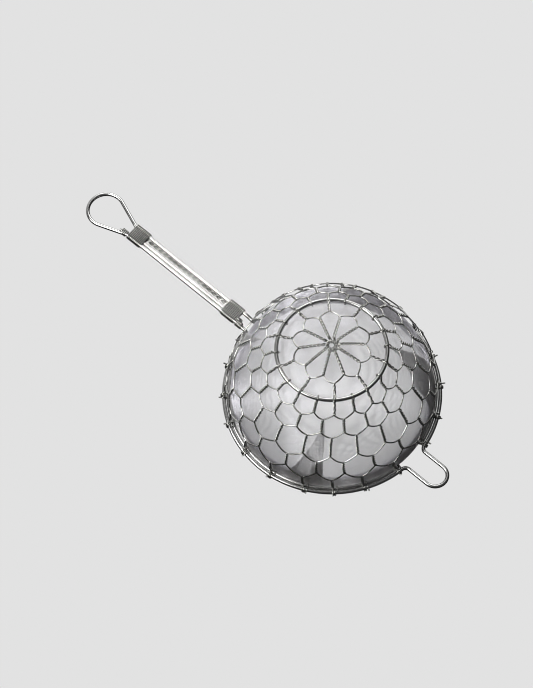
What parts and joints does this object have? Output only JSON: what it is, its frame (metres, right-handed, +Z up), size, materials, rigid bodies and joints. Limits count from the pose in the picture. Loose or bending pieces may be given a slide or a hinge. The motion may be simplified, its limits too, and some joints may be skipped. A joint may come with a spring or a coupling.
{
  "type": "double sieve strainer",
  "caption": "Round-bottomed hand strainer: a fine wire mesh bowl inside a hand-woven hexagonal wire net, on a bent wire frame with a long handle, hanging loop and rest hook.",
  "frame": {"origin": "middle of the object's footprint, at the rim's underside, which is the surface it stands on", "axes": "+X along the handle's line towards the rest hook, +Z up from the rim to the crown, +Y across"},
  "size_m": [0.2638, 0.1203, 0.0605],
  "materials": {
    "polished_wire": "bright drawn stainless wire",
    "net_wire": "bright fine stainless wire, hand twisted",
    "wrap_wire": "fine stainless wire, close wound",
    "woven_mesh": "satin plain-weave mesh"
  },
  "bodies": {
    "root": {"frame_wire": "polished_wire", "inner_rim_ring": "polished_wire", "foot_ring": "polished_wire", "middle_rod": "polished_wire", "twist_wire_a": "wrap_wire", "twist_wire_b": "wrap_wire", "bowl_collar": "wrap_wire", "tip_collar": "wrap_wire", "sieve_bowl": "woven_mesh", "centre_ring": "net_wire", "crown_wire_01": "net_wire", "crown_wire_02": "net_wire", "crown_wire_03": "net_wire", "crown_wire_04": "net_wire", "crown_wire_05": "net_wire", "crown_wire_06": "net_wire", "crown_wire_07": "net_wire", "crown_wire_08": "net_wire", "crown_wire_09": "net_wire", "crown_wire_10": "net_wire", "skirt_wire_01": "net_wire", "skirt_wire_02": "net_wire", "skirt_wire_03": "net_wire", "skirt_wire_04": "net_wire", "skirt_wire_05": "net_wire", "skirt_wire_06": "net_wire", "skirt_wire_07": "net_wire", "skirt_wire_08": "net_wire", "skirt_wire_09": "net_wire", "skirt_wire_10": "net_wire"}
  },
  "joints": []
}
